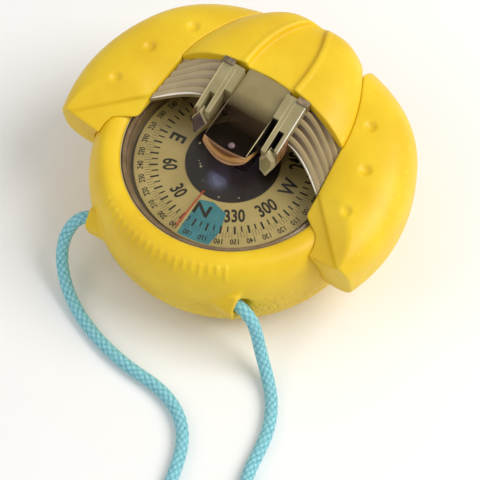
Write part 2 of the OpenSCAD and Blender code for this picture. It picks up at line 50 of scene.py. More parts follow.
BOWL_R = 39.3
BOWL_MID_Z = 22.0
RIM_Z = 33.2
CREST_R = 33.5
RIM_W = BOWL_R - CREST_R
SIDE_ROUND = 54.0
SIDE_END = math.radians(11)
FOOT_ROUND = (BOWL_MID_Z - SIDE_ROUND * math.sin(SIDE_END)) / (1 - math.sin(SIDE_END))
FOOT_R = BOWL_R - SIDE_ROUND + (SIDE_ROUND - FOOT_ROUND) * math.cos(SIDE_END)
LIP_Z = 31.8
CROWN_R = 36.7
CROWN_TOP_Z = 42.1
SIDE_Z = 29.5
GRIP_R = 49.5
GRIP_LOW_Z = 18.5
GRIP_LOW_R = 37.0
HOOD_BACK_R = 44.5
HOOD_TOP_Z = 47.7
HOOD_HALF_W = 26.2
HOOD_FRONT_Y = 18.3
DOME_R = 30.0
DOME_TOP_Z = 32.8
DOME_RISE = 1.2
DOME_T = 1.4
RAIL_TOP_Z = 42.6
RAIL_SLOPE = 0.4
CARD_Z = 28.0
CAP_TOP_Z = CARD_Z + 0.4
CARD_HEADING = 6.5
CHANNEL = (-31.5, 20.0)
LUG_X = 24.3
CORD_D = 3.5
COIL_AT = (63.5, -106.0)
COIL_R = 24.5


# ---- Meshes ----

def around(degrees):
    """The cosine and sine of an angle."""
    a = math.radians(degrees)
    return math.cos(a), math.sin(a)


def make_mesh(name, points, faces, material, body="case", smooth=True, outward=True):
    """A piece from points in millimetres, riding on a CAD body."""
    mesh = bpy.data.meshes.new(name)
    mesh.from_pydata([Vector(p) * MM for p in points], [], [tuple(f) for f in faces])
    mesh.validate()
    if outward:
        work = bmesh.new()
        work.from_mesh(mesh)
        bmesh.ops.recalc_face_normals(work, faces=work.faces)
        work.to_mesh(mesh)
        work.free()
    mesh.polygons.foreach_set("use_smooth", [smooth] * len(mesh.polygons))
    mesh.materials.append(material)
    piece = bpy.data.objects.new(name, mesh)
    bpy.context.scene.collection.objects.link(piece)
    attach(piece, body)
    return piece


def grid_faces(rows, cols, wrap=False):
    """Quads between rows of points that each hold cols points."""
    faces = []
    for i in range(rows - 1):
        for j in range(cols if wrap else cols - 1):
            k = (j + 1) % cols
            faces.append((i * cols + j, i * cols + k, (i + 1) * cols + k, (i + 1) * cols + j))
    return faces


def ring_faces(rows, cols):
    """Quads between closed rows, and from the last row back to the first."""
    last = (rows - 1) * cols
    return grid_faces(rows, cols, wrap=True) + [
        (last + j, last + (j + 1) % cols, (j + 1) % cols, j) for j in range(cols)]


def loft(name, sections, material, smooth=True):
    """A solid through closed sections that have the same number of points."""
    cols = len(sections[0])
    points = [p for section in sections for p in section]
    ends = [range(cols), range(len(points) - cols, len(points))]
    faces = grid_faces(len(sections), cols, wrap=True) + ends
    return make_mesh(name, points, faces, material, smooth=smooth)


def revolve(name, outline, material, steps=160):
    """A closed outline of (radius, height) points turned about Z."""
    sections = []
    for i in range(steps):
        a = 2 * math.pi * i / steps
        sections.append([(r * math.cos(a), r * math.sin(a), z) for r, z in outline])
    points = [p for section in sections for p in section]
    return make_mesh(name, points, ring_faces(steps, len(outline)), material)


def label(piece, slot, *nodes):
    """Hides the CAD nodes that a piece stands for. The slot is not used."""
    if nodes:
        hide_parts(*nodes)
    return piece


def add_layer(piece, name, values):
    """A number for each point, for the material to read."""
    layer = piece.data.attributes.new(name, "FLOAT", "POINT")
    layer.data.foreach_set("value", values)


def thicken(piece, width, offset):
    modifier = piece.modifiers.new("thick", "SOLIDIFY")
    modifier.thickness = width * MM
    modifier.offset = offset
    return piece


def bevel(piece, width, segments=2, angle=30):
    """Rounds a piece's edges, so that they catch the light."""
    modifier = piece.modifiers.new("bevel", "BEVEL")
    modifier.width = width * MM
    modifier.segments = segments
    modifier.limit_method = "ANGLE"
    modifier.angle_limit = math.radians(angle)
    modifier.harden_normals = True
    return piece


# ---- Fields: a value below 0 is inside, and is close to a distance in millimetres ----

def space(low, high, step):
    axes = [np.arange(low[i], high[i] + step, step) for i in range(3)]
    return np.meshgrid(*axes, indexing="ij")


def as_distance(field, step):
    slope = np.sqrt(sum(g * g for g in np.gradient(field, step)))
    return field / np.maximum(slope, 0.05)


def both(a, b, k):
    """Where two fields overlap, with an edge rounded over k millimetres."""
    h = np.clip(0.5 + 0.5 * (a - b) / k, 0, 1)
    return b + (a - b) * h + k * h * (1 - h)


def either(a, b, k):
    return -both(-a, -b, k)


def half_space(X, Y, Z, point, normal):
    n = Vector(normal).normalized()
    return (X - point[0]) * n.x + (Y - point[1]) * n.y + (Z - point[2]) * n.z


def ball(X, Y, Z, centre, r):
    return np.sqrt((X - centre[0]) ** 2 + (Y - centre[1]) ** 2 + (Z - centre[2]) ** 2) - r


def ease(t):
    t = np.clip(t, 0, 1)
    return t * t * (3 - 2 * t)


def skin(name, field, low, step, material):
    """The surface where a field is 0, as a piece."""
    grid = openvdb.FloatGrid(1.0)
    grid.copyFromArray(np.clip(field, -3 * step, 3 * step).astype(np.float32))
    points, quads = grid.convertToQuads(0.0)
    points = points * step + np.array(low)
    return make_mesh(name, points.tolist(), quads.tolist(), material)


def outline_distance(outline, step, size):
    """Signed distance to a closed (radius, height) outline, on a grid that starts at (0, -4)."""
    R, Z = np.meshgrid(np.arange(0, size[0], step), np.arange(-4, size[1], step), indexing="ij")
    nearest = np.full(R.shape, 1e9)
    inside = np.zeros(R.shape, bool)
    for (r0, z0), (r1, z1) in zip(outline, outline[1:] + outline[:1]):
        dr, dz = r1 - r0, z1 - z0
        t = np.clip(((R - r0) * dr + (Z - z0) * dz) / max(dr * dr + dz * dz, 1e-9), 0, 1)
        nearest = np.minimum(nearest, np.hypot(R - r0 - t * dr, Z - z0 - t * dz))
        if z0 != z1:
            crosses = ((z0 > Z) != (z1 > Z)) & (R < r0 + (Z - z0) * dr / dz)
            inside ^= crosses
    return np.where(inside, -nearest, nearest)


def sample(table, step, R, Z):
    """Bilinear look-up in a table from outline_distance()."""
    r = np.clip(R / step, 0, table.shape[0] - 1.001)
    z = np.clip((Z + 4) / step, 0, table.shape[1] - 1.001)
    i, j = r.astype(int), z.astype(int)
    u, v = r - i, z - j
    return ((1 - u) * (1 - v) * table[i, j] + u * (1 - v) * table[i + 1, j]
            + (1 - u) * v * table[i, j + 1] + u * v * table[i + 1, j + 1])


# ---- Materials ----

def linear(rgb):
    """Screen colour, 0 to 255, to the linear values that shaders take."""
    steep = [(c / 255) / 12.92 if c <= 10 else ((c / 255 + 0.055) / 1.055) ** 2.4 for c in rgb]
    return (*steep, 1.0)


def shade(rgb, by):
    return tuple(c + by for c in rgb)


class Shader:
    """A Principled material and short ways to add nodes to it."""

    def __init__(self, name, color, rough, metallic=0.0, specular=0.5, coat=0.0):
        self.material = bpy.data.materials.new(name)
        self.material.use_nodes = True
        self.tree = self.material.node_tree
        self.main = self.tree.nodes["Principled BSDF"]
        self.out = self.tree.nodes["Material Output"]
        for socket, value in {"Base Color": linear(color), "Roughness": rough, "Metallic": metallic,
                              "Specular IOR Level": specular, "Coat Weight": coat}.items():
            self.main.inputs[socket].default_value = value
        self.place = self.tree.nodes.new("ShaderNodeTexCoord").outputs["Object"]

    def node(self, kind, **values):
        n = self.tree.nodes.new(kind)
        for key, value in values.items():
            if hasattr(n, key):
                setattr(n, key, value)
            else:
                n.inputs[key.replace("_", " ")].default_value = value
        return n

    def link(self, a, b):
        self.tree.links.new(a, b)

    def noise(self, size, detail=3.0, stretch=(1, 1, 1)):
        """Noise whose grain is about size millimetres."""
        mapping = self.node("ShaderNodeMapping")
        mapping.inputs["Scale"].default_value = [s / (size * MM) for s in stretch]
        texture = self.node("ShaderNodeTexNoise", Scale=1.0, Detail=detail)
        self.link(self.place, mapping.inputs["Vector"])
        self.link(mapping.outputs[0], texture.inputs["Vector"])
        return texture.outputs["Fac"]

    def ramp(self, factor, stops):
        n = self.node("ShaderNodeValToRGB")
        while len(n.color_ramp.elements) < len(stops):
            n.color_ramp.elements.new(0.5)
        for element, (at, color) in zip(n.color_ramp.elements, stops):
            element.position = at
            element.color = linear(color) if len(color) == 3 else color
        self.link(factor, n.inputs["Fac"])
        return n.outputs["Color"]

    def value_range(self, factor, low, high, start=0.0, end=1.0):
        n = self.node("ShaderNodeMapRange", From_Min=start, From_Max=end, To_Min=low, To_Max=high)
        self.link(factor, n.inputs["Value"])
        return n.outputs["Result"]

    def feed(self, socket, value):
        if isinstance(value, (int, float, tuple)):
            socket.default_value = value
        else:
            self.link(value, socket)

    def mix(self, factor, a, b):
        n = self.node("ShaderNodeMix", data_type="RGBA")
        for socket, value in zip((n.inputs[0], n.inputs[6], n.inputs[7]), (factor, a, b)):
            self.feed(socket, value)
        return n.outputs[2]

    def times(self, a, b):
        n = self.node("ShaderNodeMath", operation="MULTIPLY")
        self.feed(n.inputs[0], a)
        self.feed(n.inputs[1], b)
        return n.outputs[0]

    def layer(self, name):
        """Numbers that the piece's points carry."""
        return self.node("ShaderNodeAttribute", attribute_name=name).outputs["Fac"]

    def blend(self, factor, a, b):
        """Shows shader a where the factor is 0 and b where it is 1."""
        n = self.node("ShaderNodeMixShader")
        for socket, output in zip(n.inputs, (factor, a.outputs[0], b.outputs[0])):
            self.link(output, socket)
        self.link(n.outputs[0], self.out.inputs["Surface"])

    def color(self, output):
        self.link(output, self.main.inputs["Base Color"])

    def rough(self, output):
        self.link(output, self.main.inputs["Roughness"])

    def bump(self, height, distance, strength=1.0):
        n = self.node("ShaderNodeBump", Strength=strength, Distance=distance * MM)
        self.link(height, n.inputs["Height"])
        previous = self.main.inputs["Normal"].links
        if previous:
            self.link(previous[0].from_socket, n.inputs["Normal"])
        self.link(n.outputs[0], self.main.inputs["Normal"])


def yellow_rubber():
    s = Shader("yellow_rubber", (236, 196, 26), 0.4, specular=0.45)
    broad = s.noise(14, 4)
    fine = s.noise(1.6, 3)
    grain = s.noise(0.35, 2)
    tone = s.ramp(broad, [(0.3, (230, 188, 20)), (0.5, (237, 197, 26)), (0.7, (243, 206, 34))])
    edge = s.node("ShaderNodeNewGeometry").outputs["Pointiness"]
    # Painted highlight: the sharpest convex edges turn a paler yellow.
    edge_glint = s.value_range(edge, 0.0, 1.0, 0.52, 0.6)
    tone = s.mix(s.times(edge_glint, 0.3), tone, linear((252, 226, 80)))
    # Painted shade: creases and hollows turn a darker orange-yellow.
    crease_shade = s.value_range(edge, 0.5, 0.0, 0.42, 0.495)
    s.color(s.mix(s.times(crease_shade, 0.7), tone, linear((204, 148, 14))))
    s.rough(s.value_range(fine, 0.36, 0.52))
    low_front = s.node("ShaderNodeSeparateXYZ")
    s.link(s.place, low_front.inputs[0])
    stipple = s.times(s.value_range(low_front.outputs["Z"], 1.0, 0.0, 0.017, 0.023),
                      s.value_range(low_front.outputs["Y"], 1.0, 0.0, -0.012, 0.0))
    s.bump(grain, 0.05, 0.5)
    s.bump(s.times(s.noise(1.3, 1), stipple), 1.1, 1.0)
    return s.material


def plain(name, color, rough, spread=10, size=6.0, bump=0.03, **more):
    """Moulded plastic or rubber: a colour that drifts a little, and a fine skin."""
    s = Shader(name, color, rough, **more)
    darker = tuple(max(0, c - spread) for c in color)
    lighter = tuple(min(255, c + spread) for c in color)
    s.color(s.ramp(s.noise(size, 4), [(0.3, darker), (0.7, lighter)]))
    s.rough(s.value_range(s.noise(size / 4, 3), max(0.03, rough - 0.06), rough + 0.08))
    s.bump(s.noise(0.4, 2), bump, 0.4)
    return s.material


def brushed(name, color, rough):
    s = Shader(name, color, rough, metallic=1.0)
    s.color(s.ramp(s.noise(3, 3), [(0.3, shade(color, -12)), (0.7, color)]))
    streak = s.noise(0.5, 2, (1, 1, 0.08))
    s.rough(s.value_range(streak, rough - 0.08, rough + 0.12))
    s.bump(streak, 0.02, 0.3)
    return s.material


def glass(name, tint, rough=0.03, strength=0.5):
    """Clear plastic: a tinted view through it, and a gloss that grows towards grazing angles."""
    s = Shader(name, tint, rough)
    through = s.node("ShaderNodeBsdfTransparent")
    drift = s.ramp(s.noise(9, 3), [(0.3, shade(tint, -5)), (0.7, tint)])
    s.link(drift, through.inputs["Color"])
    shine = s.node("ShaderNodeBsdfGlossy", Roughness=rough)
    amount = s.times(s.node("ShaderNodeFresnel", IOR=1.45).outputs[0], strength)
    s.blend(amount, through, shine)
    return s.material


def smoky(name, tone, clear_tint, y_clear, y_full, full=0.96):
    """Clear plastic that turns solid tan towards the hood: a painted reflection and shade, standing
    in for what the prism shows there.
    """
    s = Shader(name, tone, 0.16, coat=0.5)
    s.color(s.ramp(s.noise(7, 4), [(0.3, shade(tone, -9)), (0.7, shade(tone, 5))]))
    s.bump(s.noise(3, 2), 0.04, 0.25)
    through = s.node("ShaderNodeBsdfTransparent")
    through.inputs["Color"].default_value = linear(clear_tint)
    place = s.node("ShaderNodeSeparateXYZ")
    s.link(s.place, place.inputs[0])
    reflection_cover = s.value_range(place.outputs["Y"], 0.02, full, y_clear * MM, y_full * MM)
    s.blend(reflection_cover, through, s.main)
    return s.material


def ribbed(name, valley_shade, body, crest, reach):
    """Moulded ribs: painted shade in their hollows, strongest by the rail and fading away from it,
    and painted highlights on their pale crests.
    """
    s = Shader(name, body, 0.28, coat=0.35)
    rib = s.layer("rib")
    near = s.layer("near")
    drift = s.ramp(s.noise(6, 4), [(0.3, shade(body, -9)), (0.7, shade(body, 7))])
    lines = s.ramp(rib, [(0.0, valley_shade), (0.36, valley_shade), (0.6, body), (0.78, body), (1.0, crest)])
    s.color(s.mix(s.value_range(near, 0.25 * reach, reach), drift, lines))
    s.bump(s.noise(1.5, 2), 0.03, 0.3)
    return s.material


def lens_rim(name):
    """Bands of colour that run along the lens's edge: painted highlights and shade standing in for
    the reflections in its clear edge.
    """
    s = Shader(name, (190, 140, 70), 0.22, coat=0.5)
    band = s.layer("band")
    glint_bands = s.ramp(band, [(0.0, (206, 180, 118)), (0.12, (196, 160, 96)), (0.2, (138, 98, 50)),
                          (0.3, (186, 134, 66)), (0.62, (204, 150, 82)), (0.78, (128, 84, 48)),
                          (0.9, (208, 160, 120)), (1.0, (190, 140, 104))])
    drift = s.ramp(s.noise(2.5, 3), [(0.3, (150, 104, 54)), (0.7, (214, 160, 96))])
    s.color(s.mix(0.25, glint_bands, drift))
    return s.material


def cord_fibre():
    s = Shader("cord_fibre", (128, 205, 218), 0.75, specular=0.2)
    strand_height = s.layer("braid")
    strands = s.noise(0.22, 2)
    # Painted shade and highlight: darker down in the braid's hollows, paler on the strand tops.
    tone = s.ramp(strand_height, [(0.05, (38, 92, 98)), (0.35, (92, 172, 186)), (0.8, (146, 216, 228)),
                          (1.0, (186, 236, 242))])
    fibres = s.ramp(strands, [(0.35, (70, 140, 152)), (0.65, (180, 232, 240))])
    s.color(s.mix(0.35, tone, fibres))
    s.main.inputs["Sheen Weight"].default_value = 0.25
    s.bump(strands, 0.12, 0.6)
    return s.material


YELLOW = yellow_rubber()
DARK = plain("dark_plastic", (38, 30, 28), 0.3, spread=8)
BROWN = plain("brown_plastic", (166, 142, 104), 0.3, spread=14, coat=0.4)
CREAM = plain("cream_plastic", (219, 209, 178), 0.45)
GLOW = plain("glow_plastic", (191, 217, 153), 0.5)
RED = plain("red_paint", (205, 72, 48), 0.35)
SEAL = plain("seal_rubber", (58, 48, 40), 0.6, spread=8)
BRASS = brushed("turned_brass", (206, 166, 92), 0.3)
STEEL = brushed("bright_steel", (196, 198, 202), 0.28)
RUBY = plain("ruby", (205, 80, 100), 0.08, coat=1.0)
WALL = plain("window_wall", (146, 122, 94), 0.35, spread=16, size=4, coat=0.3)
CARD = plain("card_face", (204, 187, 128), 0.5, spread=9, size=9)
INK = plain("black_ink", (40, 36, 28), 0.55, spread=8, size=1.0)
TEAL = plain("teal_ink", (72, 150, 172), 0.5, spread=8, size=3.0)
TIE = plain("tie_strap", (40, 42, 46), 0.5, spread=8, size=1.0, bump=0.1)
DOME = glass("clear_dome", (254, 252, 246), rough=0.07)
PRISM = smoky("prism_body", (152, 136, 92), (214, 202, 214), 6.5, 11.5)
LENS = lens_rim("lens_edge")
SMOKED = plain("smoked_plastic", (160, 147, 103), 0.2, spread=9, coat=0.5)
# The pale tan of the rail noses is a painted highlight round their outline.
NOSE_RIM = plain("nose_rim", (186, 172, 128), 0.2, spread=8, coat=0.5)
# Lit and shaded copies: a painted reflection on each nose facet, pale olive on the right and dark
# brown on the left.
NOSE_FACE = {1: plain("nose_olive_reflection", (146, 135, 88), 0.2, spread=10, size=3, coat=0.4),
             -1: plain("nose_dark_reflection", (78, 60, 58), 0.2, spread=26, size=3, coat=0.4)}
# Lit and shaded copies: the right ribs get darker painted shade in their hollows, reaching further
# from the rail, than the left ones.
RIBS = {1: ribbed("ribs_right_painted_shade", (72, 50, 32), (162, 141, 98), (198, 178, 132), 1.0),
        -1: ribbed("ribs_left_painted_shade", (132, 112, 76), (170, 150, 106), (184, 166, 122), 0.6)}
# A near-white strip colour: a painted highlight along the edges it is given to.
EDGE = plain("painted_highlight_edge", (252, 246, 230), 0.15, spread=4, coat=1.0)
# A pale tan strip colour: a painted highlight on the edges and the window lip it is given to.
PALE_EDGE = plain("pale_edge", (206, 190, 140), 0.2, spread=8, coat=0.6)
# Lit and shaded copies: the right stop is lighter than the left one.
STOP = {1: plain("stop_right", (134, 114, 84), 0.25, spread=18, size=1.5, coat=0.5),
        -1: plain("stop_left", (112, 96, 72), 0.25, spread=22, size=1.5, coat=0.5)}
CHEEK = plain("amber_cheek", (150, 108, 68), 0.25, spread=30, size=1.6, coat=0.5)
# A brown strip colour: painted shade on the left prism edge, the shaded copy of the pale one on the
# right.
BROWN_EDGE = plain("brown_edge", (104, 82, 56), 0.3, spread=10, size=2)
# Near-black colour for the films of painted shade inside the slots.
SLOT_SHADE = plain("slot_painted_shade", (40, 30, 26), 0.35, spread=8, size=2)
BEAD = plain("sight_bead", (186, 176, 160), 0.2, spread=8, size=1, coat=0.6)
CORD = cord_fibre()


# ---- Camera and light ----

def add_camera():
    """A long lens, high over the front right of the case."""
    turn_c, turn_s = around(36.85)
    lift_c, lift_s = around(59.15)
    roll_c, roll_s = around(1.89)
    right = Vector((turn_c, turn_s, 0))
    up = Vector((-turn_s * lift_s, turn_c * lift_s, lift_c))
    back = right.cross(up)
    data = bpy.data.cameras.new("camera")
    data.sensor_width = 36
    data.lens = 167.3
    data.clip_start = 0.01
    camera = bpy.data.objects.new("camera", data)
    bpy.context.scene.collection.objects.link(camera)
    place = Vector((0, 0, 29)) + 1.17 * right - 21.51 * up + 600 * back
    axes = (roll_c * right - roll_s * up, roll_s * right + roll_c * up, back)
    camera.matrix_world = Matrix.Translation(place * MM) @ Matrix(axes).transposed().to_4x4()
    bpy.context.scene.camera = camera


def add_light(name, at, size, power, color=(1, 1, 1)):
    data = bpy.data.lights.new(name, "AREA")
    data.shape = "DISK"
    data.size = size
    data.energy = power
    data.color = color
    lamp = bpy.data.objects.new(name, data)
    lamp.location = at
    lamp.rotation_euler = (-Vector(at)).to_track_quat("-Z", "Y").to_euler()
    bpy.context.scene.collection.objects.link(lamp)


def add_stage():
    add_light("key", (0.45, 0.25, 0.6), 0.55, 4.3, (1, 0.98, 0.95))
    add_light("fill", (-0.4, -0.45, 0.6), 0.6, 0.9, (0.97, 0.98, 1))
    add_light("window", (-0.28, 0.33, 0.79), 0.03, 0.02, (0.5, 0.58, 1))
    world = bpy.data.worlds.new("studio")
    world.use_nodes = True
    world.node_tree.nodes["Background"].inputs["Color"].default_value = (1, 1, 1, 1)
    world.node_tree.nodes["Background"].inputs["Strength"].default_value = 0.5
    bpy.context.scene.world = world
    mesh = bpy.data.meshes.new("floor")
    mesh.from_pydata([(-3, -3, 0), (3, -3, 0), (3, 3, 0), (-3, 3, 0)], [], [(0, 1, 2, 3)])
    mesh.materials.append(plain("pale_floor", (250, 250, 249), 0.7, spread=2, size=200, bump=0.0))
    floor = bpy.data.objects.new("floor", mesh)
    bpy.context.scene.collection.objects.link(floor)
    bpy.context.scene.view_settings.view_transform = "Standard"


# ---- Lanyard ----

# The cord's middle, from the middle of its channel out of each mouth to the coil
LEFT_ROUTE = [
    (0, -31.5, 20), (-8, -31.5, 20), (-16, -31.5, 20), (-21, -31.5, 20), (-25, -32, 19.6),
    (-28, -34, 17.6), (-29.4, -37, 14), (-29, -40.2, 10), (-26.6, -43.6, 6.4), (-22.4, -47, 3.6),
    (-17, -50, 2.2), (-10.5, -52.6, 1.75), (-4, -54.4, 1.75), (2.5, -55.5, 1.75),
    (8, -55.9, 1.75), (13.4, -56.2, 1.75), (18.4, -57.2, 1.75), (23, -59.2, 1.75),
    (27, -62.4, 1.75), (30, -66.6, 1.75), (32, -71.4, 1.75), (33.8, -77, 1.75),
    (35.8, -84, 1.75), (37.6, -91, 1.75), (38.7, -99, 1.75),
]
RIGHT_ROUTE = [
    (0, -31.5, 20), (8, -31.5, 20), (16, -31.5, 20), (21, -31.5, 20), (25, -31.6, 19.2),
    (28.2, -31.9, 16.6), (30.2, -32.5, 12.6), (32, -33.6, 8.4), (34.8, -35.6, 4.6),
    (38.2, -38.4, 2.4), (41.6, -42, 1.75), (44.4, -46.4, 1.75), (46.4, -51.2, 1.75),
    (47.6, -56.2, 1.75), (48.6, -61.4, 1.75), (50.1, -65.6, 2.2), (52.4, -68.2, 3.4),
    (55.3, -70.8, 4.7), (59, -74, 4.9), (62.7, -77.2, 4.9), (66.6, -80.6, 5.1), (70.6, -83.8, 5.25),
]
KNOT_AT = Vector((59, -74, 4.9))
LAY_Z = CORD_D / 2


def coil_route():
    """Three turns inwards on the floor, then out again on top of them to where the cord leaves."""
    points = []
    inner = COIL_R - 3 * CORD_D
    for i in range(55):
        a = 180 + 20 * i
        points.append((a, COIL_R - CORD_D * i / 18, LAY_Z))
    start = points[-1][0]
    for i in range(1, 5):
        points.append((start + 22.5 * i, inner, LAY_Z + CORD_D * ease(i / 4)))
    start = points[-1][0]
    steps = 44
    for i in range(1, steps + 1):
        turned = 870 * i / steps
        points.append((start + turned, inner + CORD_D * turned / 360, LAY_Z + CORD_D))
    turns = [(*around(a), r, z) for a, r, z in points]
    return [(COIL_AT[0] + r * c, COIL_AT[1] + r * s, float(z)) for c, s, r, z in turns]


def run_length(points):
    """How far along a route each of its points is."""
    return np.concatenate([[0], np.cumsum(np.linalg.norm(np.diff(points, axis=0), axis=1))])


def smooth_route(points, step):
    """A Catmull-Rom curve through points, in even steps."""
    P = [Vector(p) for p in points]
    P = [2 * P[0] - P[1]] + P + [2 * P[-1] - P[-2]]
    dense = []
    for a, b, c, d in zip(P, P[1:], P[2:], P[3:]):
        n = max(2, int((c - b).length / 0.3))
        for i in range(n):
            t = i / n
            dense.append(0.5 * (2 * b + (c - a) * t + (2 * a - 5 * b + 4 * c - d) * t * t
                                + (3 * b - a - 3 * c + d) * t ** 3))
    dense.append(P[-2])
    dense = np.array(dense)
    along = run_length(dense)
    even = np.linspace(0, along[-1], int(along[-1] / step) + 1)
    return np.stack([np.interp(even, along, dense[:, i]) for i in range(3)], axis=1), along[-1]


def braided(name, points, radius, sides, material, strands=6, cell=2.3, relief=0.2):
    """A braided tube: two sets of strands that cross, each diamond showing the one on top."""
    tangents = np.gradient(points, axis=0)
    tangents /= np.linalg.norm(tangents, axis=1)[:, None]
    normal = np.cross(tangents[0], (0, 0, 1.0))
    normals = []
    for t in tangents:
        normal = normal - t * np.dot(normal, t)
        normal /= np.linalg.norm(normal)
        normals.append(normal)
    normals = np.array(normals)
    others = np.cross(tangents, normals)
    along = run_length(points)[:, None]
    angle = (np.arange(sides) / sides)[None, :]
    u = strands * angle + along / cell
    v = strands * angle - along / cell
    over = (np.floor(u) + np.floor(v)) % 2 == 0
    across = np.where(over, np.sin(np.pi * (u % 1)), np.sin(np.pi * (v % 1)))
    length = np.where(over, np.sin(np.pi * (v % 1)), np.sin(np.pi * (u % 1)))
    height = across ** 0.6 * (0.55 + 0.45 * length ** 0.7)
    r = radius - relief + relief * 1.15 * height
    c, s = np.cos(2 * np.pi * angle)[..., None], np.sin(2 * np.pi * angle)[..., None]
    rings = points[:, None, :] + r[..., None] * (c * normals[:, None, :] + s * others[:, None, :])
    rows, cols = rings.shape[:2]
    ends = [range(cols), range(rows * cols - cols, rows * cols)]
    faces = grid_faces(rows, cols, wrap=True) + ends
    piece = make_mesh(name, rings.reshape(-1, 3).tolist(), faces, material)
    add_layer(piece, "braid", height.reshape(-1).astype(np.float32))
    return piece


def add_lanyard():
    route = LEFT_ROUTE + coil_route() + RIGHT_ROUTE[::-1]
    points, length = smooth_route(route, 0.4)
    cord = braided("braided_cord", points, CORD_D / 2, 28, CORD)
    label(cord, "blue_cord", "lanyard_left", "lanyard_right", "lanyard_coil")
    knot = add_knot()
    tie = add_tie()
    print("cord length mm", length)


def add_knot():
    """Three turns of the cord wrapped round itself."""
    axis = Vector((3.7, -3.2, 0)).normalized()
    side = Vector((0, 0, 1))
    other = axis.cross(side)
    points = []
    steps = 60
    for i in range(steps + 1):
        t = i / steps
        a = 2 * math.pi * 3 * t
        grip = 3.3 - 1.8 * max(0, abs(t - 0.5) * 2 - 0.85) / 0.15
        points.append(KNOT_AT + axis * (9.6 * (t - 0.5)) * 0.68
                      + grip * (side * math.cos(a) + other * math.sin(a)))
    dense, _ = smooth_route(points, 0.35)
    knot = braided("stopper_knot", dense, 1.6, 24, CORD)
    return label(knot, "blue_cord", "lanyard_knot")


def add_tie():
    """A strap closed round the coil's section."""
    out_r = COIL_R + CORD_D / 2
    in_r = COIL_R - 3.5 * CORD_D
    top = 2 * CORD_D
    mid_r, mid_z = (out_r + in_r) / 2, top / 2
    steps = 72
    squareness = 2 / 7
    spin_c, spin_s = around(-60)
    sections = []
    for i in range(steps):
        a = 2 * math.pi * i / steps
        c, s = math.cos(a), math.sin(a)
        x = math.copysign(abs(c) ** squareness, c)
        z = math.copysign(abs(s) ** squareness, s)
        ring = []
        for w, t in ((-2.4, 0.05), (-2.4, 0.5), (-2.1, 0.7), (2.1, 0.7), (2.4, 0.5), (2.4, 0.05)):
            r = mid_r + (out_r - in_r + 2 * t) / 2 * x
            height = max(0.0, mid_z + (top / 2 + t) * z)
            ring.append((COIL_AT[0] + r * spin_c - w * spin_s,
                         COIL_AT[1] + r * spin_s + w * spin_c, height))
        sections.append(ring)
    points = [p for ring in sections for p in ring]
    tie = make_mesh("coil_strap", points, ring_faces(steps, 6), TIE)
    return label(tie, "dark_plastic", "coil_tie")


add_camera()
add_stage()
add_lanyard()


# ---- Soft case ----

STEP = 0.34


def arc(centre, radii, start, end, n):
    turns = [around(start + (end - start) * i / n) for i in range(n + 1)]
    return [(centre[0] + radii[0] * c, centre[1] + radii[1] * s) for c, s in turns]


def bowl_side():
    end = math.degrees(SIDE_END)
    return (arc((FOOT_R, FOOT_ROUND), (FOOT_ROUND, FOOT_ROUND), -90, -end, 16)
            + arc((BOWL_R - SIDE_ROUND, BOWL_MID_Z), (SIDE_ROUND, SIDE_ROUND), -end, 0, 12)
            + arc((CREST_R, BOWL_MID_Z), (RIM_W, RIM_Z - BOWL_MID_Z), 6, 90, 20))


TABLE_STEP = 0.2
ENVELOPE = outline_distance([(0, 0)] + bowl_side() + [(0, RIM_Z)], TABLE_STEP, (60, 52))
JACKET = outline_distance(
    [(0, 0)] + bowl_side() + arc((BOWL_R - RIM_W, LIP_Z), (3.2, 1.4), 95, 180, 8)
    + [(30.3, 31.0), (35.0, 31.0), (35.0, 25.0), (29.8, 25.0), (29.8, 23.2), (27.6, 23.2),
       (27.6, 4), (0, 4)],
    TABLE_STEP, (60, 52))


LUG_FACE = ((-27, 26.5), (-32.8, 25), (-35.6, 20.5), (-34.8, 16), (-27, 11.5))


def hull_work(points):
    work = bmesh.new()
    for p in points:
        work.verts.new(p)
    bmesh.ops.convex_hull(work, input=work.verts)
    return work


def hull_planes(points):
    """Outward planes (normal, distance) of the convex hull of some points."""
    work = hull_work(points)
    bmesh.ops.recalc_face_normals(work, faces=work.faces)
    planes = [(f.normal.copy(), f.normal.dot(f.verts[0].co)) for f in work.faces]
    work.free()
    return planes


def lug_field(X, Y, Z):
    """Wedge that carries one mouth of the cord's channel, on both sides."""
    x = np.abs(X)
    corners = [(end, y, z) for end in (LUG_X, LUG_X - 0.4) for y, z in LUG_FACE]
    corners += [(12 + i, -33 + j, 20 + k) for i in (-0.5, 0.5) for j in (-2, 2) for k in (-2, 2)]
    field = None
    for normal, distance in hull_planes(corners):
        plane = x * normal.x + Y * normal.y + Z * normal.z - distance
        field = plane if field is None else both(field, plane, 0.35)
    return field


def tick_relief(X, Y, Z):
    """A raised scale of plain bars along the front of the rim."""
    a = np.degrees(np.arctan2(X, -Y))
    r = np.hypot(X, Y)
    count = np.round(a / 3.6)
    off = (a - count * 3.6) * math.pi / 180 * r
    outer = np.where(count % 3 == 0, 37.9, 37.1)
    bar = np.maximum(np.abs(off) - 0.42, np.maximum(r - outer, 35.3 - r))
    shown = (np.abs(a) < 34.5) & (Z > 27)
    return np.where(shown, ease(-bar / 0.35 + 0.6), 0.0)


def soft(name, field, low, node):
    return label(skin(name, field, low, STEP, YELLOW), "yellow_rubber", node)


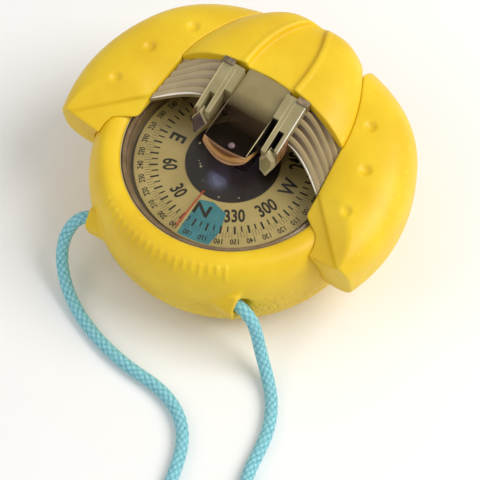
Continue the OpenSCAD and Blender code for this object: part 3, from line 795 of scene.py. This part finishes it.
def add_bowl():
    low, high = (-42, -42, -1), (42, 42, 35)
    X, Y, Z = space(low, high, STEP)
    R = np.hypot(X, Y)
    field = sample(JACKET, TABLE_STEP, R, Z)
    lugs = both(lug_field(X, Y, Z), 28.6 - R, 0.5)
    field = either(field, lugs, 0.7)
    field = field - 0.28 * tick_relief(X, Y, Z)
    bore = np.hypot(Y - CHANNEL[0], Z - CHANNEL[1])
    flare = 2.0 + 0.7 * ease((np.abs(X) - LUG_X + 1.2) / 1.2)
    field = both(field, flare - bore, 0.4)
    soft("soft_bowl", field, low, "bowl_jacket")


def outer_r(a):
    return GRIP_R - (GRIP_R - HOOD_BACK_R) * ease((a - 30) / 60) + 0.03 * np.minimum(0, a)


def crown_z(a):
    return CROWN_TOP_Z - 0.001 * np.maximum(0, 45 - a) ** 2


def fullness(a):
    return 2.5 - 0.8 * ease((a - 30) / 45)


def top_z(r, a):
    """Height of the grips' top inside their outer shoulder."""
    return crown_z(a) - 0.038 * np.maximum(0, 1 - a / 45) * np.maximum(0, CROWN_R - r) ** 2


def shell_field(R, Z, a):
    """The grips' rounded section: a full shoulder above the side, a squarer one below it."""
    reach = outer_r(a)
    n = fullness(a)
    across = np.maximum(R - CROWN_R, 0) / (reach - CROWN_R)
    lift = np.maximum(Z - SIDE_Z, 0) / (top_z(R, a) - SIDE_Z)
    over = ((across ** n + lift ** n) ** (1 / n) - 1) * (reach - CROWN_R)
    across = np.maximum(R - GRIP_LOW_R, 0) / (reach - GRIP_LOW_R)
    drop = np.maximum(SIDE_Z - Z, 0) / (SIDE_Z - GRIP_LOW_Z)
    under = ((across ** 4 + drop ** 4) ** 0.25 - 1) * (reach - GRIP_LOW_R)
    return np.where(Z >= SIDE_Z, over, under)


def hood_w(y):
    return HOOD_HALF_W - 14.7 * np.maximum(0, (y - 12) / 32.5) ** 1.75


def grip_z(r, a):
    reach, n = outer_r(a), fullness(a)
    s = np.clip((r - CROWN_R) / (reach - CROWN_R), 0, 1)
    return SIDE_Z + (top_z(r, a) - SIDE_Z) * (1 - s ** n) ** (1 / n)


DIMPLES = ((37.3, -3), (36.7, 17), (36.7, 38))


def add_grips():
    low, high = (18, -20, 15), (53, 47, 45)
    X, Y, Z = space(low, high, STEP)
    R, a = np.hypot(X, Y), np.degrees(np.arctan2(Y, X))
    field = as_distance(shell_field(R, Z, np.clip(a, -27, 90)), STEP)
    brow = both(half_space(X, Y, Z, (27.4, -0.3, 37.5), (-0.271, -0.446, 0.854)),
                half_space(X, Y, Z, (27.4, -0.3, 36), (-0.66, -0.73, 0.18)), 0.4)
    shelf = half_space(X, Y, Z, (33.8, -13.4, 31.6), (-0.304, -0.455, 0.836))
    field = both(field, either(brow, shelf, 0.3), 0.5)
    field = both(field, half_space(X, Y, Z, (40, -14.6, 32), (0, -0.984, -0.18)), 0.35)
    wall = np.where(Y < 13, 27.4 - 0.11 * (np.maximum(Y, -0.2) + 0.2), hood_w(Y))
    field = both(field, wall - X, 0.6)
    for r, turn in DIMPLES:
        c, s = around(turn)
        height = float(grip_z(np.array(r), np.array(float(turn))))
        centre = (r * c, r * s, height + 1.2)
        field = both(field, -ball(X, Y, Z, centre, 2.1), 0.5)
    field = both(field, 0.1 - sample(ENVELOPE, TABLE_STEP, R, Z), 0.5)
    grip = soft("soft_grip_right", field, low, "right_grip")
    flip = (np.array([v.co for v in grip.data.vertices]) / MM * (-1, 1, 1)).tolist()
    faces = [tuple(p.vertices) for p in grip.data.polygons]
    label(make_mesh("soft_grip_left", flip, faces, YELLOW), "yellow_rubber", "left_grip")


def hood_ridge(y):
    return HOOD_TOP_Z - 3 * np.maximum(0, (y - 22) / 18) ** 2.2


def panel_w(y):
    return 0.4 + 6.5 * (1 - np.clip((y - 18) / 25.3, 0, 1) ** 2.6)


def hood_top(x, y):
    w = hood_w(y)
    u = np.clip(x / w, 0, 1)
    crease = grip_z(np.hypot(w, y), np.degrees(np.arctan2(y, w)))
    inside = x - panel_w(y)
    faded = ease((43.3 - y) / 3)
    sunk = 1.6 * (1 - ease((inside + 0.1) / 1.0)) * faded
    bead = 0.3 * np.exp(-((inside - 1.6) / 0.7) ** 2) * faded
    top = crease + (np.maximum(crease, hood_ridge(y)) - crease) * (1 - u ** 4.5) - sunk + bead
    back = np.clip((np.hypot(x, y) - outer_r(np.degrees(np.arctan2(y, x))) + 6.5) / 6.5, 0, 1)
    n = 2.5 + 1.2 * u
    return SIDE_Z + (top - SIDE_Z) * (1 - back ** n) ** (1 / n)


def add_hood():
    low, high = (-28, 10, 15), (28, 48, 50)
    X, Y, Z = space(low, high, STEP)
    x = np.abs(X)
    field = as_distance(Z - hood_top(x, Y), STEP)
    edge = HOOD_FRONT_Y - 4.9 * (x / 25.9) ** 1.6
    field = both(field, (edge - Y) * 0.95, 0.5)
    field = both(field, as_distance(x - hood_w(Y), STEP), 0.5)
    field = both(field, np.hypot(X, Y) - outer_r(np.degrees(np.arctan2(Y, x))), 0.5)
    field = both(field, GRIP_LOW_Z - Z, 2.0)
    field = both(field, 0.1 - sample(ENVELOPE, TABLE_STEP, np.hypot(X, Y), Z), 0.5)
    soft("soft_hood", field, low, "hood")


add_bowl()
add_grips()
add_hood()


# ---- Clear top ----

def dome_z(r):
    return DOME_TOP_Z - DOME_RISE * (r / DOME_R) ** 2


def rail_top(y):
    return RAIL_TOP_Z + RAIL_SLOPE * (y - 4)


def side_name(side):
    return "right" if side > 0 else "left"


def add_dome():
    top = [(r + 0.001, dome_z(r)) for r in (DOME_R * (24 - i) / 24 for i in range(25))]
    inner = DOME_R - DOME_T
    under = [(r + 0.001, dome_z(r) - DOME_T) for r in (inner * i / 24 for i in range(25))]
    outline = [(inner, 27.2), (35, 27.2), (35, 29.2), (DOME_R, 29.2)] + top + under
    label(revolve("clear_dome_shell", outline, DOME), "clear_plastic", "capsule_dome")
    wall = [(28.66, 27.4), (29.9, 27.4), (29.9, 31.1), (29.6, 31.45), (29.2, 31.5), (28.66, 31.2)]
    lip = [(30.05, 29.3), (30.3, 29.3), (30.36, 31.5), (30.2, 31.75), (30.05, 31.6)]
    revolve("window_wall", wall, WALL)
    revolve("window_lip", lip, PALE_EDGE)
    for side in (1, -1):
        for piece in [add_shoulder(side), add_shoulder_lip(side)] + add_rail(side):
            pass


RIB_PITCH = 2.5
RIB_H = 0.8
RIB_ROWS = 8


def shoulder_at(side, t, along, lift=0.0):
    """A place on a shoulder: t from the rail to the grip, along going back from its front edge."""
    y = 6 - 6.2 * t ** 1.8 + along
    x = 13.4 + (27.2 - 0.11 * (y + 0.2) - 13.4) * t
    high = rail_top(y) - 1.7
    low = 36.5 + 0.243 * (y + 0.2)
    z = min(45.2, high + (low - high) * t ** 1.15, 45.2 - 0.8 * (y - 18))
    return side * x, y, z + lift


def add_shoulder(side):
    """Ribs that follow the curved front edge of a sloping block between a rail and a grip."""
    cols, count = 24, 8
    rows = count * RIB_ROWS
    points, rib, near = [], [], []
    for i in range(rows + 1):
        phase = i / RIB_ROWS % 1
        crest = phase / 0.72 if phase < 0.72 else (1 - phase) / 0.28
        for j in range(cols + 1):
            t = j / cols
            lift = RIB_H * (crest - 1) * (1 - 0.35 * t)
            points.append(shoulder_at(side, t, RIB_PITCH * i / RIB_ROWS, lift))
            rib.append(crest)
            near.append(max(0.0, 1 - t / 0.75) ** 0.8)
    n = len(points)
    w = cols + 1
    points += [(x, y, z - 1.4) for x, y, z in points]
    faces = grid_faces(rows + 1, w)
    faces += [tuple(n + k for k in f[::-1]) for f in grid_faces(rows + 1, w)]
    rim = [*range(w), *(i * w + cols for i in range(1, rows + 1)),
           *(rows * w + j for j in range(cols - 1, -1, -1)),
           *(i * w for i in range(rows - 1, 0, -1))]
    faces += [(a, b, n + b, n + a) for a, b in zip(rim, rim[1:] + rim[:1])]
    name = "ribbed_shoulder_" + side_name(side)
    piece = make_mesh(name, points, faces, RIBS[side], smooth=False)
    for name, values in (("rib", rib), ("near", near)):
        add_layer(piece, name, values + [0.3] * n)
    return piece


def ribbon(name, path, r, material):
    """A slim bead along a path."""
    turns = [around(60 * i) for i in range(6)]
    points = []
    for k, (x, y, z) in enumerate(path):
        t = min(1, max(0.04, k / (len(path) - 1)))
        slim = r * (0.35 + 0.65 * math.sin(math.pi * t) ** 0.5)
        points += [(x + slim * c, y + 0.4 * slim * s, z + slim * s) for c, s in turns]
    faces = grid_faces(len(path), 6, wrap=True) + [range(6), range(len(points) - 6, len(points))]
    return make_mesh(name, points, faces, material)


def add_shoulder_lip(side):
    """A slim near-white strip on a shoulder's front edge: a painted highlight."""
    path = [shoulder_at(side, t / 30, 0.05, -0.5) for t in range(1, 30)]
    return ribbon("shoulder_glint_" + side_name(side), path, 0.32, EDGE)


def terrace(name, xs, ys, tops, low, material):
    """A block whose top steps from cell to cell: a height, a function of y, or None for no cell."""
    def corners(i, j):
        top = tops[i][j] if 0 <= i < len(xs) - 1 and 0 <= j < len(ys) - 1 else None
        if top is None:
            return None
        return (lambda y: top) if isinstance(top, (int, float)) else top
    points, faces = [], []

    def quad(*places):
        base = len(points)
        points.extend(places)
        faces.append(tuple(range(base, base + 4)))
    for i in range(-1, len(xs) - 1):
        for j in range(-1, len(ys) - 1):
            here = corners(i, j)
            if here:
                (x0, x1), (y0, y1) = xs[i:i + 2], ys[j:j + 2]
                quad((x0, y0, here(y0)), (x1, y0, here(y0)),
                     (x1, y1, here(y1)), (x0, y1, here(y1)))
                quad((x0, y0, low), (x0, y1, low), (x1, y1, low), (x1, y0, low))
            beside, behind = corners(i + 1, j), corners(i, j + 1)
            if j >= 0 and (here or beside) and here is not beside:
                x, a, b = xs[i + 1], here or (lambda y: low), beside or (lambda y: low)
                if a(ys[j]) != b(ys[j]):
                    quad(*[(x, y, f(y)) for y, f in ((ys[j], a), (ys[j + 1], a),
                                                     (ys[j + 1], b), (ys[j], b))])
            if i >= 0 and (here or behind) and here is not behind:
                y, a, b = ys[j + 1], here or (lambda y: low), behind or (lambda y: low)
                if a(y) != b(y):
                    x0, x1 = xs[i:i + 2]
                    quad((x0, y, a(y)), (x1, y, a(y)), (x1, y, b(y)), (x0, y, b(y)))
    piece = make_mesh(name, points, faces, material, smooth=False)
    work = bmesh.new()
    work.from_mesh(piece.data)
    bmesh.ops.remove_doubles(work, verts=work.verts, dist=1e-6)
    bmesh.ops.recalc_face_normals(work, faces=work.faces)
    work.to_mesh(piece.data)
    work.free()
    return bevel(piece, 0.16, 2)


def hull(name, points, material):
    work = hull_work(points)
    bmesh.ops.delete(work, geom=[v for v in work.verts if not v.link_faces], context="VERTS")
    work.verts.index_update()
    piece = make_mesh(name, [tuple(v.co) for v in work.verts],
                      [tuple(v.index for v in f.verts) for f in work.faces], material, smooth=False)
    work.free()
    return piece


NOSE = {1: ((11.6, -1.6, 33.4), (9.6, -1.3, 34.8), (8.6, 0.2, 37.6), (10.7, 1.0, 41.3),
            (13.0, 0.8, 39.0), (13.2, 0.2, 36.4)),
        -1: ((11.7, -1.6, 33.2), (9.2, 1.4, 37.0), (11.5, 1.8, 41.6), (13.9, 0.6, 37.2))}


def add_rail(side):
    """A slotted bar beside the prism, with a web, a faceted nose in front and a stop behind."""
    hand = side_name(side)
    high = rail_top
    xs, ys = [6.8, 8.9, 10.3, 12.0, 13.4], [0.4 if side > 0 else 1.9, 2.0, 6.9, 9.1, 15.9]
    tops = [[None, None, None, high], [high] * 4, [None, 38.6, high, high],
            [None, high, high, high]]
    if side < 0:
        xs, tops = [-x for x in xs[::-1]], tops[::-1]
    pieces = [terrace("prism_rail_" + hand, xs, ys, tops, 38.2, SMOKED)]
    foot = ((9.2, 1.6), (13.1, 1.6), (13.1, 15.6), (9.2, 15.6))
    sections = [[(side * x, y, z) for x, y in foot] for z in (32.0, 38.1)]
    pieces.append(loft("rail_foot_" + hand, sections, DOME, smooth=False))
    centre = sum((Vector(p) for p in NOSE[side]), Vector()) / len(NOSE[side])
    ahead = Vector((0.02, -0.87, 0.5))
    back = [(side * x, y + 1.7, z) for x, y, z in NOSE[side]]
    front = [(side * x, y, z) for x, y, z in NOSE[side]]
    inset = 0.66 if side > 0 else 0.82
    facet = [centre + (Vector(p) - centre) * inset + 0.4 * ahead for p in NOSE[side]]
    facet = [(side * x, y, z) for x, y, z in facet]
    nose = hull("rail_nose_" + hand, back + front + facet, NOSE_RIM)
    pieces.append(bevel(nose, 0.1, 1))
    window = [Vector(p) + 0.06 * ahead for p in facet]
    pieces.append(hull("nose_facet_" + hand, window + [p - 0.4 * ahead for p in window],
                       NOSE_FACE[side]))
    cheek = [(13.35, 1.4, 37.2), (13.35, 1.4, 41.0), (13.35, 6.4, 42.6), (13.35, 6.4, 37.6)]
    cheek = [(side * (x + out), y, z) for out in (0.0, 0.2) for x, y, z in cheek]
    pieces.append(hull("rail_cheek_" + hand, cheek, CHEEK))
    pieces.append(terrace("rail_stop_" + hand, sorted((side * 10.2, side * 13.7)), [14.9, 16.7],
                          [[rail_top(16.2) + 0.2]], 42, STOP[side]))
    # Strips along the rails' top edges: painted highlights, the brightest on the right rail's outer
    # edge.
    lines = [("outer", 13.2, 1.6, 15.4, 0.2), ("inner", 8.98, ys[0] + 0.2, 15.2, 0.14),
             ("middle", 10.2, ys[0] + 0.2, 15.2, 0.12)]
    for name, x, y0, y1, r in lines:
        run = [y0 + (y1 - y0) * k / 16 for k in range(17)]
        path = [(side * x, y, rail_top(y) - 0.04) for y in run]
        shine = EDGE if side > 0 and name == "outer" else PALE_EDGE
        pieces.append(ribbon("rail_%s_edge_%s" % (name, hand), path, r, shine))
    # Painted shade: dark films line the right rail's slot and the gap beside the prism.
    if side > 0:
        pieces.append(lining("slot_shade_film", (10.3, 12.0), (2.0, 6.9), 38.65, 0.3))
        pieces.append(lining("gap_shade_film", (6.85, 8.85), (1.2, 9.0), 38.0, 0.5))
    return pieces


def lining(name, xs, ys, floor, down):
    """A dark film of painted shade on the walls and the floor of a slot."""
    ring = [(xs[0] + 0.03, ys[0] + 0.03), (xs[1] - 0.03, ys[0] + 0.03),
            (xs[1] - 0.03, ys[1] - 0.03), (xs[0] + 0.03, ys[1] - 0.03)]
    points = [(x, y, rail_top(y) - down) for x, y in ring] + [(x, y, floor) for x, y in ring]
    walls = [(i, (i + 1) % 4, (i + 1) % 4 + 4, i + 4) for i in range(4)]
    film = make_mesh(name, points, walls + [(4, 5, 6, 7)], SLOT_SHADE, smooth=False)
    return thicken(film, 0.1, -1)


LENS_R = 14.0
LENS_Y = -4.8
PRISM_W = 6.7


def prism_top(y):
    return 39.8 + 0.25 * (y - LENS_Y)


def lens_plan(x):
    return LENS_Y + LENS_R - math.sqrt(LENS_R ** 2 - x * x)


def add_prism():
    """Sloping clear block with a convex lens front, turning solid tan towards the hood as a painted
    reflection.
    """
    front = [(x, lens_plan(x)) for x in (PRISM_W * (i - 16) / 16 for i in range(33))]
    plan = front + [(PRISM_W, 18.2), (-PRISM_W, 18.2)]
    foot = [(x, max(y, lens_plan(0) + 1.2), 33.0) for x, y in plan]
    waist = [(x, y, 35.6 + 2.9 * (abs(x) / PRISM_W) ** 2 if y < 5 else 35.6) for x, y in plan]
    top = [(x, y, prism_top(y)) for x, y in plan]
    body = loft("prism_block", [foot, waist, top], PRISM, smooth=False)
    bevel(body, 0.15)
    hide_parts("reading_prism")
    tops, lows = [], []
    for x, _ in front:
        tops.append((x, -4.15 + 0.02 * x * x, prism_top(-4.15)))
        lows.append((x, -5.35 + 0.026 * x * x, 35.2 + 3.3 * (abs(x) / PRISM_W) ** 2))
    for k in range(1, 7):
        tops.append((PRISM_W + 0.05, -3.3 + 0.95 * k, 40.0 - 0.5 * k))
        lows.append((PRISM_W + 0.05, -4.15 + 1.1 * k, 38.5 - 0.4 * k))
    points, band = [], []
    rows = (0.0, 0.1, 0.2, 0.38, 0.56, 0.72, 0.8, 0.88, 1.0)
    swell = (0.02, 0.14, 0.06, 0.16, 0.26, 0.2, 0.1, 0.24, 0.14)
    for v, out in zip(rows, swell):
        for high, low in zip(tops, lows):
            x, y, z = (a + (b - a) * v for a, b in zip(high, low))
            side_on = x > PRISM_W
            points.append((x + out, y, z) if side_on else (x, y - out, z))
            band.append(v)
    lens = make_mesh("lens_front", points, grid_faces(len(rows), len(tops)), LENS, smooth=False)
    add_layer(lens, "band", band)
    thicken(lens, 0.3, -1)
    for side in (1, -1):
        back = 9 if side > 0 else 9.5
        run = [(side * (PRISM_W - 0.1), y, prism_top(y) - 0.02)
               for y in np.linspace(-3.0, back, 16)]
        # A painted highlight in pale tan on the right prism edge, painted shade in brown on the
        # left one.
        material = PALE_EDGE if side > 0 else BROWN_EDGE
        ribbon("prism_edge_" + side_name(side), run, 0.16, material)
    ball_at = Vector((0.6, -1.2, 38.2))
    bubble = bmesh.new()
    bmesh.ops.create_uvsphere(bubble, u_segments=24, v_segments=14, radius=0.95)
    bubble.verts.index_update()
    points = [Vector((v.co.x, v.co.y, 0.6 * v.co.z)) + ball_at for v in bubble.verts]
    faces = [tuple(v.index for v in f.verts) for f in bubble.faces]
    dot = make_mesh("sight_bead", points, faces, BEAD)
    bubble.free()


add_dome()
add_prism()


# ---- Dial ----

def on_card(heading, r, z=CARD_Z):
    """The place on the card at a bearing and radius, with the case's own heading under the line."""
    c, s = around(heading - CARD_HEADING)
    return Vector((-r * s, -r * c, z))


def text_faces(words, height, narrow, heading, r, weight=0.0, mirrored=False):
    """A word as flat points and faces, its top towards the card's middle."""
    data = bpy.data.curves.new("label", "FONT")
    data.body = words
    data.align_x = "CENTER"
    data.align_y = "CENTER"
    data.size = height / 0.72
    data.offset = weight
    data.resolution_u = 3
    text = bpy.data.objects.new("label", data)
    bpy.context.scene.collection.objects.link(text)
    graph = bpy.context.evaluated_depsgraph_get()
    mesh = text.evaluated_get(graph).to_mesh()
    c, s = around(heading - CARD_HEADING)
    across = Vector((c, -s, 0)) * (-1 if mirrored else 1)
    up = Vector((s, c, 0))
    centre = on_card(heading, r, CARD_Z + 0.05)
    points = [centre + across * v.co.x * narrow + up * v.co.y for v in mesh.vertices]
    faces = [tuple(p.vertices) for p in mesh.polygons]
    text.evaluated_get(graph).to_mesh_clear()
    bpy.data.objects.remove(text)
    return points, faces


def bar_faces(heading, r0, r1, width, z=CARD_Z + 0.05):
    side = on_card(heading + 90, 1, 0) - on_card(0, 0, 0)
    half = side * width / 2
    a, b = on_card(heading, r0, z), on_card(heading, r1, z)
    return [a - half, a + half, b + half, b - half], [(0, 1, 2, 3)]


def print_on_card(name, parts, material):
    points, faces = [], []
    for some, their in parts:
        base = len(points)
        points += some
        faces += [tuple(base + i for i in f) for f in their]
    piece = make_mesh(name, points, faces, material, "card_set", smooth=False, outward=False)
    return label(thicken(piece, 0.04, 0), "dark_plastic")


NORTH_SECTOR = ((-0.5, -14.7), (3, -13.3), (7.8, -14.3), (9.8, -19.6), (9.6, -24.8),
                (6.6, -25.8), (3.6, -26.3), (0.5, -26.5))
SPECKS = ((-10.8, -0.3, 0.34), (-6.9, -5.6, 0.24), (-6.2, -6.2, 0.36), (-7.7, -5.0, 0.18),
          (3.4, -11.4, 0.22), (8.0, -8.6, 0.2), (-3.2, -9.6, 0.14))


def add_dial():
    parts = []
    for heading in range(0, 360, 30):
        words = {0: "N", 90: "E", 180: "S", 270: "W"}.get(heading, str(heading))
        height, narrow = {0: (3.6, 1.3), 90: (4.3, 0.9), 270: (4.3, 0.8)}.get(heading, (3.9, 0.7))
        parts.append(text_faces(words, height, narrow, heading, 17.2, weight=0.13))
    for heading in range(0, 360):
        if heading % 5 and heading % 2:
            continue
        if heading % 5 == 0:
            long = heading % 10 == 0
            parts.append(bar_faces(heading, 20.3, 22.7 if long else 22.0, 0.52 if long else 0.36))
        else:
            parts.append(bar_faces(heading, 22.0, 23.9, 0.07))
    for heading in range(0, 360, 10):
        words = str((heading + 180) % 360).zfill(3)
        parts.append(text_faces(words, 1.6, 0.8, heading, 25.1, weight=0.035, mirrored=True))
    print_on_card("dial_print", parts, INK)
    sector = [(x, y, CARD_Z + 0.025) for x, y in NORTH_SECTOR]
    print_on_card("north_sector", [(sector, [range(len(sector))])], TEAL)
    dots = []
    for x, y, r in SPECKS:
        turns = [around(45 * i) for i in range(8)]
        ring = [(x + r * c, y + r * s, CAP_TOP_Z + 0.04) for c, s in turns]
        dots.append((ring, [range(8)]))
    print_on_card("cap_marks", dots, CREAM)


def add_index_line():
    """The red line on the front of the capsule's window: two fine stripes with a pale gap."""
    for number, x in enumerate((-0.17, 0.17)):
        sections = []
        for y in np.linspace(-26, -13.3, 8):
            high = dome_z(-y) - DOME_T - 0.02
            sections.append([(x - 0.1, y, high - 0.2), (x + 0.1, y, high - 0.2),
                             (x + 0.1, y, high), (x - 0.1, y, high)])
        stripe = loft("index_stripe_%d" % number, sections, RED, smooth=False)
        label(stripe, "red_paint", *([] if number else ["lubber_line"]))


add_dial()
add_index_line()


# ---- CAD nodes that stay, with their own materials ----

for name, material in {
    "bezel_ring": BROWN, "lubber_line": RED, "capsule_seal": SEAL, "clamp_screws": STEEL,
    "capsule_base": CREAM, "glow_disc": GLOW, "diaphragm": SEAL, "diaphragm_ring": BRASS,
    "filler_plug": BRASS, "filler_seal": SEAL, "pivot_post": BRASS, "pivot_needle": STEEL,
    "jewel": RUBY, "jewel_mount": DARK, "hub_cap": DARK, "card": CARD, "card_float": DARK,
    "magnets": STEEL, "grip_frame": DARK,
}.items():
    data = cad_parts[name].data
    data.materials.clear()
    data.materials.append(material)
